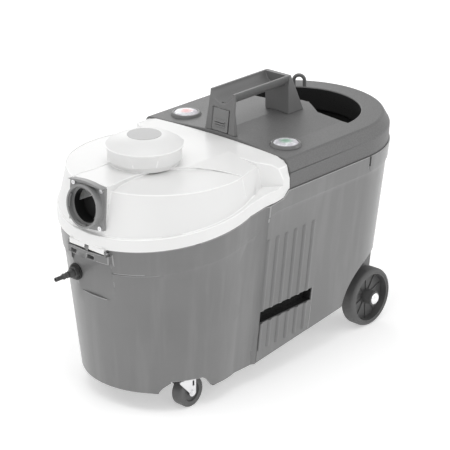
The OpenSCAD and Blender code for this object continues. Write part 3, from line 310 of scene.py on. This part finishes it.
class Finish:
    """One material: a Principled surface and the nodes that feed it."""

    def __init__(self, name, **surface):
        self.material = bpy.data.materials.new(name)
        self.material.use_nodes = True
        self.tree = self.material.node_tree
        self.surface = self.tree.nodes["Principled BSDF"]
        for socket, value in surface.items():
            self.set(socket.replace("_", " "), value)

    def set(self, socket, value):
        self.join(self.surface.inputs[socket], value)

    def join(self, socket, value):
        if isinstance(value, Signal):
            self.tree.links.new(value.socket, socket)
        elif socket.type == "RGBA" and len(value) == 3:
            socket.default_value = (*value, 1)
        else:
            socket.default_value = value

    def node(self, kind, settings, inputs, output=0):
        """Adds one node: its settings first, then the values or links of its sockets."""
        made = self.tree.nodes.new(kind)
        for key, value in settings.items():
            setattr(made, key, value)
        pairs = enumerate(inputs) if isinstance(inputs, list) else inputs.items()
        for key, value in pairs:
            self.join(made.inputs[key], value)
        return Signal(self, made.outputs[output])

    def place(self, scale=(1, 1, 1), shift=(0, 0, 0)):
        """The object's own coordinates, stretched and shifted."""
        point = self.node("ShaderNodeTexCoord", {}, {}, "Object")
        return self.node("ShaderNodeMapping", {}, {"Vector": point, "Scale": scale, "Location": shift})

    def noise(self, scale, detail, place=None):
        sockets = {"Vector": place or self.place(), "Scale": scale, "Detail": detail}
        return self.node("ShaderNodeTexNoise", {}, sockets)

    def blend(self, factor, one, other):
        """Mix of two colours; 6, 7 and 2 are the Mix node's own numbers of its colour sockets."""
        sockets = {"Factor": factor, 6: one, 7: other}
        return self.node("ShaderNodeMix", {"data_type": "RGBA"}, sockets, 2)

    def bump(self, height, depth, strength):
        sockets = {"Height": height, "Distance": depth, "Strength": strength}
        self.set("Normal", self.node("ShaderNodeBump", {}, sockets))


MOTTLE = 0.05           # how far moulded plastic strays from its tone


def grey(level):
    return (level, level, level)


def moulded(name, level, roughness=0.42, grain=900, depth=0.03 * MM):
    """Moulded plastic: a fine grain in the surface and a faint cloudiness in its colour."""
    made = Finish(name, IOR=1.46)
    cloud = made.noise(9, 4)
    fine = made.noise(grain, 2)
    made.tone = made.blend(cloud.between(0.3, 0.7), grey(level * (1 - MOTTLE)), grey(level * (1 + MOTTLE)))
    made.set("Base Color", made.tone)
    made.set("Roughness", fine * 0.12 + cloud * 0.08 + (roughness - 0.1))
    made.bump(fine, depth, 0.5)
    return made


def housing_plastic():
    """The tub's plastic, with soft upright lighter streaks in its colour: a painted reflection of the
    studio on the glossy wall.
    """
    made = moulded("housing_plastic", 0.168, roughness=0.4)
    made.set("Coat Weight", 0.35)
    made.set("Coat Roughness", 0.16)
    # lighter upright streaks: a painted reflection
    painted_reflection_streaks = made.noise(1, 3, made.place((42, 42, 2.2)))
    made.set("Base Color", made.blend(painted_reflection_streaks.between(0.45, 0.72) * 0.22, made.tone, grey(0.28)))
    return made


def cover_plastic():
    """Spark-eroded grain: small pits that also show as specks."""
    made = moulded("cover_plastic", 0.13, roughness=0.5, grain=620, depth=0.09 * MM)
    speck = made.noise(520, 1).between(0.38, 0.62)
    made.set("Base Color", made.blend(speck * 0.45, made.tone, grey(0.18)))
    return made


def lid_clear():
    """Frosted polypropylene: nearly white, a little see-through, glossy on its edges."""
    made = Finish("lid_clear", IOR=1.49, Alpha=0.94, Coat_Weight=0.12, Coat_Roughness=0.2)
    cloud = made.noise(7, 3)
    made.set("Base Color", made.blend(cloud.between(0.3, 0.7), (0.89, 0.89, 0.885), (0.91, 0.91, 0.905)))
    made.set("Roughness", cloud * 0.15 + 0.38)
    made.bump(made.noise(260, 2), 0.02 * MM, 0.4)
    return made


def metal(name, colour, roughness, grain=(1, 1, 1), scale=240):
    """Bare or plated metal with faint rolling marks and smudges."""
    made = Finish(name, Metallic=1.0)
    mark = made.noise(scale, 3, made.place(grain))
    smudge = made.noise(26, 3)
    dull = tuple(c * 0.93 for c in colour)
    made.set("Base Color", made.blend(smudge.between(0.3, 0.7), dull, colour))
    made.set("Roughness", mark * 0.16 + smudge * 0.1 + (roughness - 0.1))
    made.bump(mark, 0.01 * MM, 0.3)
    return made


def lens_plastic(name, node, core, rim):
    """Clear button lens: a tinted core under a pale dome flecked with near-white painted glints."""
    made = Finish(name, IOR=1.5, Coat_Weight=0.3, Coat_Roughness=0.12, Roughness=0.3)
    centre = middle(node)
    centre.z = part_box(node)[1].z
    from_centre = made.place(shift=tuple(-c for c in centre))
    near = made.node("ShaderNodeVectorMath", {"operation": "LENGTH"}, [from_centre], 1)
    # near-white flecks in the pale dome: painted glints
    painted_glint = made.noise(150, 1)
    body = made.blend(painted_glint.between(0.35, 0.65), rim, (0.86, 0.88, 0.9))
    outward = (near + painted_glint * 5 * MM).between(6 * MM, 16 * MM)
    made.set("Base Color", made.blend(outward, core, body))
    return made


def foam():
    """Open cell foam, nearly black."""
    made = Finish("foam", Roughness=1.0)
    cell = made.noise(420, 2)
    made.set("Base Color", made.blend(cell.between(0.35, 0.65), grey(0.004), grey(0.02)))
    made.bump(cell, 1.2 * MM, 1.0)
    return made


FINISHES = {
    "housing_plastic": housing_plastic(),
    "cover_plastic": cover_plastic(),
    "handle_plastic": moulded("handle_plastic", 0.175, roughness=0.45, grain=760, depth=0.05 * MM),
    "latch_plastic": moulded("latch_plastic", 0.2, roughness=0.42),
    "bezel_plastic": moulded("bezel_plastic", 0.17, roughness=0.34),
    "dark_plastic": moulded("dark_plastic", 0.075, roughness=0.36),
    "inner_plastic": moulded("inner_plastic", 0.7),
    "disc_plastic": moulded("disc_plastic", 0.42, roughness=0.38),
    "float_plastic": moulded("float_plastic", 0.86, roughness=0.25),
    # near black: partly the tank's own dark plastic, partly painted shade of the deep well it is seen down
    "tank_clear": moulded("tank_clear", 0.03, roughness=0.3),
    "lid_clear": lid_clear(),
    "seal_rubber": moulded("seal_rubber", 0.03, roughness=0.6, depth=0.06 * MM),
    "tyre_rubber": moulded("tyre_rubber", 0.115, roughness=0.62, grain=480, depth=0.08 * MM),
    "wheel_plastic": moulded("wheel_plastic", 0.1, roughness=0.45),
    "foam": foam(),
    "zinc_steel": metal("zinc_steel", (0.84, 0.84, 0.85), 0.3, (1, 1, 5)),
    "cap_chrome": metal("cap_chrome", (0.93, 0.93, 0.94), 0.12),
    "fan_alloy": metal("fan_alloy", (0.72, 0.72, 0.74), 0.42, scale=120),
    "strainer_brass": metal("strainer_brass", (0.62, 0.44, 0.18), 0.35),
    "button_red": lens_plastic("button_red", "button_left", (0.62, 0.2, 0.2), (0.6, 0.56, 0.62)),
    "button_green": lens_plastic("button_green", "button_right", (0.3, 0.5, 0.38), (0.6, 0.58, 0.63)),
}
# finishes of edges, lighter than their faces as a painted highlight, and of places that the record has no
# slot for; the throat's near-black is painted shade
# near-white for the rounded edges of the lid and cap and for the lid's beads: a painted highlight
LID_EDGE_HIGHLIGHT = Finish("lid_edge_painted_highlight", Base_Color=(0.99, 0.99, 0.985, 1), Roughness=0.25)
PLATE_GREY = moulded("plate_grey", 0.25, roughness=0.4)
# lighter grey for the housing's rounded edges: a painted highlight, not a different plastic
HOUSING_EDGE_HIGHLIGHT = moulded("housing_edge_painted_highlight", 0.33, roughness=0.4)
# near-black for the tube behind the bore: painted shade
THROAT_PAINTED_SHADE = moulded("throat_painted_shade", 0.006, roughness=0.6)


# ---- suction inlet: a near-black tube behind the bore, painted shade in the bore, and the lugs of the bayonet ----
INLET = mounts["suction_inlet"]
INLET_PLACE = Vector(INLET["pos_m"])
INLET_TURN = Vector((0, 0, 1)).rotation_difference(Vector(INLET["axis"])).to_matrix()
MOUTH_R = INLET["dims"]["r_mm"] * MM       # inner radius of the collar
MOUTH_HALF = INLET["dims"]["length_mm"] * MM / 2
THROAT_LENGTH = 21 * MM
THROAT_GAP = 0.4 * MM                      # between the mouth and the throat
THROAT_OUTER, THROAT_INNER = MOUTH_R - 3.3 * MM, MOUTH_R - 4.6 * MM
THROAT_END = 2 * MM                        # thickness of its closed end
LUG_DEEP, LUG_TALL, LUG_DEG = 2.6 * MM, 3.2 * MM, 44
LUG_TURNS = (15, 105, 195, 285)


def inlet_shade_tube():
    """Thin near-black tube that runs back from the bore into the lid and is closed at its end: painted
    shade where the real bore opens into the tank.
    """
    front, back = -MOUTH_HALF - THROAT_GAP, -MOUTH_HALF - THROAT_LENGTH
    inside = back + THROAT_END
    outline = [(0, back), (THROAT_OUTER - 0.7 * MM, back), (THROAT_OUTER, back + 1 * MM)]
    outline += [(THROAT_OUTER, front), (THROAT_INNER, front), (THROAT_INNER, inside), (0, inside)]
    piece = lathe("inlet_shade_tube", outline, 64, INLET_PLACE, INLET_TURN)
    dress(piece, "lid", "dark_plastic", THROAT_PAINTED_SHADE)


def bayonet_lug(turn_deg):
    """One lug on the inside of the collar, spun from a small upright rectangle."""
    bpy.ops.mesh.primitive_plane_add(size=1)
    piece = start("bayonet_lug")
    bpy.ops.transform.resize(value=(LUG_DEEP, LUG_TALL, 1))
    bpy.ops.transform.rotate(value=radians(90), orient_axis="X", center_override=(0, 0, 0))
    bpy.ops.transform.translate(value=(MOUTH_R - LUG_DEEP / 2, 0, MOUTH_HALF - LUG_TALL))
    bpy.ops.mesh.spin(steps=12, angle=radians(LUG_DEG), center=(0, 0, 0), axis=(0, 0, 1))
    seal()
    put(piece, turn=Matrix.Rotation(radians(turn_deg), 4, "Z"))
    return piece


def bayonet():
    piece = join_up([bayonet_lug(turn) for turn in LUG_TURNS], "bayonet_lugs")
    finish_edges(piece, 0.5 * MM, 2)
    put(piece, INLET_PLACE, INLET_TURN)
    dress(piece, "lid", "handle_plastic")


# ---- lid: rounded beads along its creases, in a near-white finish that is a painted highlight ----
BEAD_R = 0.85 * MM
BROW = (142 * MM, 364 * MM)                # radius and height of the top of the wall
CROWN = (65 * MM, 373 * MM)                # radius and height where the crown turns flat
WALL_LEAN = 13 / 59                        # the wall draws in by this much per unit of height
BLOCK_X = 35 * MM                          # side of the block behind the inlet plate
BLOCK_YS = (-288, -280, -272)              # mm, the straight stretch along the block's side
SCOOP = (170 * MM, -242 * MM)              # centre of the scoop's round wall, seen from above
SCOOP_R = 138 * MM
TIP_DEG = 14                               # where the scoop's rear tip meets the wall
TIP_ZS = (362, 352, 342, 332)              # mm, down the wall from the tip
BROW_SINK = 0.3 * MM                       # the brow's bead lies this deep in the edge
BROW_END = (125 * MM, -64 * MM)            # where the brow runs into the shoulder


def crown_z(x, y):
    """Height of the lid's top above a point."""
    if abs(x) <= BLOCK_X:
        return CROWN[1]
    reach = sqrt(x * x + (y - TUB[0]) ** 2)
    climb = (BROW[0] - reach) / (BROW[0] - CROWN[0])
    return BROW[1] + (CROWN[1] - BROW[1]) * min(1, climb)


def bead(name, points, radius):
    """Round bead along a line of points."""
    piece = draw_line(name, points)
    close()
    hold(piece)
    bpy.ops.object.convert(target="CURVE")
    piece = bpy.context.object
    piece.data.bevel_depth = radius
    piece.data.bevel_resolution = 2
    piece.data.use_fill_caps = True
    bpy.ops.object.convert(target="MESH")
    bpy.ops.object.shade_smooth_by_angle(angle=radians(50))
    return bpy.context.object


def scoop_line():
    """Along the block's side and round the scoop's wall, at the height of the crown."""
    line = [(BLOCK_X, y * MM, CROWN[1]) for y in BLOCK_YS]
    for turn in range(190, 103, -2):
        x, y = on_circle(SCOOP, SCOOP_R, turn)
        line.append((x, y, crown_z(x, y)))
    return line


def brow_line():
    """Round the top of the wall, to the shoulder."""
    height = BROW[1] - BROW_SINK
    line = [(*on_circle((0, TUB[0]), BROW[0], turn), height) for turn in range(-75, 25, 2)]
    return line + [(*BROW_END, height)]


def tip_line():
    """Down the wall from the scoop's rear tip."""
    reaches = [(BROW[0] + (BROW[1] - z * MM) * WALL_LEAN, z * MM) for z in TIP_ZS]
    return [(*on_circle((0, TUB[0]), reach, TIP_DEG), height) for reach, height in reaches]


def lid_beads(side):
    hand = 1 if side == "right" else -1
    lines = []
    for name, points, radius in (
        ("scoop", scoop_line(), BEAD_R),
        ("brow", brow_line(), BEAD_R),
        ("tip", tip_line(), BEAD_R * 0.6),
    ):
        lines.append(bead(name, [Vector((hand * x, y, z)) for x, y, z in points], radius))
    # the beads take the near-white edge finish, a painted highlight
    dress(join_up(lines, "lid_beads_" + side), "lid", "lid_clear", LID_EDGE_HIGHLIGHT)


# ---- band round the housing: its underside runs out in a soft cove ----
BAND_FOOT = 240 * MM     # no other ledge of the housing lies above this height
COVES = (                # which edge of a ledge, by its reach from the body, and how far it drops
    (-0.4 * MM, 0.5 * MM, 7 * MM),
    (0.5 * MM, 1.6 * MM, 1.4 * MM),
)


def band_cove(piece):
    """Draws the inner edges of the band's two ledges down, so that each step becomes a slope."""
    mesh = piece.data
    ledges = [face for face in mesh.polygons if face.normal.z < -0.9 and face.center.z > BAND_FOOT]
    rim = {index for face in ledges for index in face.vertices}
    for near, far, drop in COVES:
        for front in (True, False):
            centre_y, foot_r = TUB if front else TAIL
            apex = FOOT_Z - foot_r / DRAFT
            bpy.ops.object.mode_set(mode="EDIT")
            bpy.ops.mesh.select_all(action="DESELECT")
            close()
            heights = []
            for index in rim:
                point = mesh.vertices[index]
                if near < body_reach(point.co) < far and (point.co.y < WAIST_Y) == front:
                    point.select = True
                    heights.append(point.co.z)
            if not heights:
                continue
            share = 1 - drop / (sum(heights) / len(heights) - apex)
            bpy.ops.object.mode_set(mode="EDIT")
            bpy.ops.transform.resize(value=(share, share, share), center_override=(0, centre_y, apex))
            close()


# ---- fill well: painted shade on its upright inner faces, from the deck's edge down ----
WELL_AXIS_Y, WELL_R = 166 * MM, 112.5 * MM
WELL_FRONT_Y = 171 * MM
WELL_TOP_Z = 366 * MM


def paint_well_shade(piece):
    """Gives the upright faces inside the well the tank's near-black finish as a second finish: painted
    shade in the deep well.
    """
    piece.data.materials.append(FINISHES["tank_clear"].material)
    for face in piece.data.polygons:
        x, y, z = face.center
        inside = sqrt(x * x + (y - WELL_AXIS_Y) ** 2) < WELL_R and y > WELL_FRONT_Y
        if inside and z < WELL_TOP_Z and abs(face.normal.z) < 0.5:
            face.material_index = 1


# ---- push buttons: cut glass domes ----
DOME_H = 3.2 * MM
LENS_BASE = 1.5 * MM     # height of the straight side under the dome
LENS_FACETS = 20


def button_lens(node):
    """A faceted dome over the button, just below the CAD button's highest point."""
    low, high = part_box(node)
    centre = middle(node)
    r = (high.x - low.x) / 2
    rim = high.z - DOME_H
    outline = [(0, rim - LENS_BASE), (r, rim - LENS_BASE), (r, rim), (r * 0.93, rim + 1.2 * MM)]
    outline += [(r * 0.62, high.z - 0.6 * MM), (r * 0.3, high.z - 0.15 * MM), (0, high.z - 0.1 * MM)]
    piece = lathe(node + "_lens", outline, LENS_FACETS, (centre.x, centre.y, 0), smooth=4)
    dress(piece, node, slot_of[node])


# ---- rear tyres with rounded shoulders ----
TYRE_THICK = 6.5 * MM
SHOULDER_R = 6 * MM
TYRE_LIP = 1 * MM        # bevel beside the wheel's seat


def rear_tyre(side):
    node = "rear_tyre_" + side
    low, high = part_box(node)
    r = (high.z - low.z) / 2
    half = (high.x - low.x) / 2
    seat = r - TYRE_THICK
    shoulder = r - SHOULDER_R
    outline = [(seat, -half + TYRE_LIP), (seat + TYRE_LIP, -half)]
    outline += bend((shoulder, -half + SHOULDER_R), SHOULDER_R, -90, 0)[1:]
    outline += bend((shoulder, half - SHOULDER_R), SHOULDER_R, 0, 90)
    outline += [(seat + TYRE_LIP, half), (seat, half - TYRE_LIP), (seat, -half + TYRE_LIP)]
    piece = lathe(node + "_rubber", outline, 128, middle(node), Matrix.Rotation(radians(90), 3, "Y"))
    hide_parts(node)
    dress(piece, "wheel_" + side, "tyre_rubber")


# ---- the set: pale floor, soft light and the camera ----
LAMPS = (                # name, place, size and watts; each shines at the middle of the machine
    ("top", (0.3, -0.5, 3.2), 2.2, 29),
    ("key", (-2.0, -1.5, 2.4), 1.6, 13),
    ("front", (0.9, -2.9, 0.9), 0.7, 7),
    ("fill", (2.6, -0.9, 1.9), 2.0, 7),
    ("right_rear", (2.1, 2.0, 1.3), 1.3, 12),
    ("left_rear", (-2.2, 1.6, 1.4), 1.4, 12),
)
AIM = Vector((0, 0, 0.2))
CAMERA_PLACE = (1.93915, -2.12362, 1.40358)
CAMERA_DOWN_DEG, CAMERA_TURN_DEG = 22.46, 42.35
CAMERA_LENS = 155.62     # mm, on a 36 mm sensor


def pale_floor():
    bpy.ops.mesh.primitive_plane_add(size=14, location=(0, 0, 0))
    floor = start("floor")
    bpy.ops.mesh.subdivide(number_cuts=1)
    close()
    ground = Finish("pale_floor", Base_Color=(0.9, 0.9, 0.9), Roughness=0.9)
    ground.set("Specular IOR Level", 0.1)
    seen = ground.node("ShaderNodeLightPath", {}, {}, "Is Camera Ray")
    ground.set("Emission Color", ground.blend(seen, grey(0.45), grey(0.4)))
    ground.set("Emission Strength", 1.0)
    floor.data.materials.append(ground.material)


def soft_world():
    """White all round, and brighter where glossy surfaces mirror it."""
    world = bpy.data.worlds.new("studio")
    bpy.context.scene.world = world
    world.use_nodes = True
    tree = world.node_tree
    ray = tree.nodes.new("ShaderNodeLightPath")
    glow = tree.nodes.new("ShaderNodeMapRange")
    glow.inputs["To Min"].default_value = 0.45
    glow.inputs["To Max"].default_value = 0.95
    tree.links.new(ray.outputs["Is Glossy Ray"], glow.inputs["Value"])
    tree.links.new(glow.outputs["Result"], tree.nodes["Background"].inputs["Strength"])
    tree.nodes["Background"].inputs["Color"].default_value = (1, 1, 1, 1)


def lamps_on():
    for name, place, size, power in LAMPS:
        lamp = bpy.data.lights.new(name, "AREA")
        lamp.size = size
        lamp.energy = power
        holder = bpy.data.objects.new(name, lamp)
        bpy.context.scene.collection.objects.link(holder)
        holder.location = place
        holder.rotation_euler = (AIM - Vector(place)).to_track_quat("-Z", "Y").to_euler()


def set_camera():
    camera = bpy.data.cameras.new("camera")
    camera.lens = CAMERA_LENS
    camera.sensor_width = 36
    camera.clip_end = 40
    eye = bpy.data.objects.new("camera", camera)
    bpy.context.scene.collection.objects.link(eye)
    eye.location = CAMERA_PLACE
    eye.rotation_euler = (radians(90 - CAMERA_DOWN_DEG), 0, radians(CAMERA_TURN_DEG))
    bpy.context.scene.camera = eye
    bpy.context.scene.view_settings.view_transform = "Standard"


pale_floor()
soft_world()
lamps_on()
set_camera()

# ---- the machine: skins over the CAD nodes that show, then the new pieces ----
SKINS = {                # width of each node's rounded edges, in mm
    "lower_housing": 1.3,
    "side_hatch": 0.5,
    "top_cover": 1.6,
    "carry_handle": 1.6,
    "lid_shell": 1.2,
    "screw_cap": 0.9,
    "lid_latch": 0.5,
    "inlet_plate": 0.7,
    "button_bezels": 0.9,
    "caster_fork_left": 0.4,
    "caster_fork_right": 0.4,
    "coupling_nut": 0.5,
    "axle_brackets": 0.8,
}
EXTRA = {                # what a skin has of its own; the lid and cap have blunter creases; the edge finishes of the housing, lid and cap are painted highlights on their rounded edges
    "lower_housing": {"shape": band_cove, "edge": HOUSING_EDGE_HIGHLIGHT},
    "inlet_plate": {"finish": PLATE_GREY},
    "lid_shell": {"crease": 20, "edge": LID_EDGE_HIGHLIGHT},
    "screw_cap": {"crease": 18, "edge": LID_EDGE_HIGHLIGHT},
}
for node, width in SKINS.items():
    skin = skin_of(node, width * MM, **EXTRA.get(node, {}))
    if node == "top_cover":
        paint_well_shade(skin)

inlet_shade_tube()
bayonet()
for side in ("left", "right"):
    lid_beads(side)
for side in ("left", "right"):
    button_lens("button_" + side)
for side in ("left", "right"):
    rear_tyre(side)

for node, part in nodes.items():
    if node not in SKINS:
        part.data.materials.clear()
        part.data.materials.append(FINISHES[slot_of[node]].material)
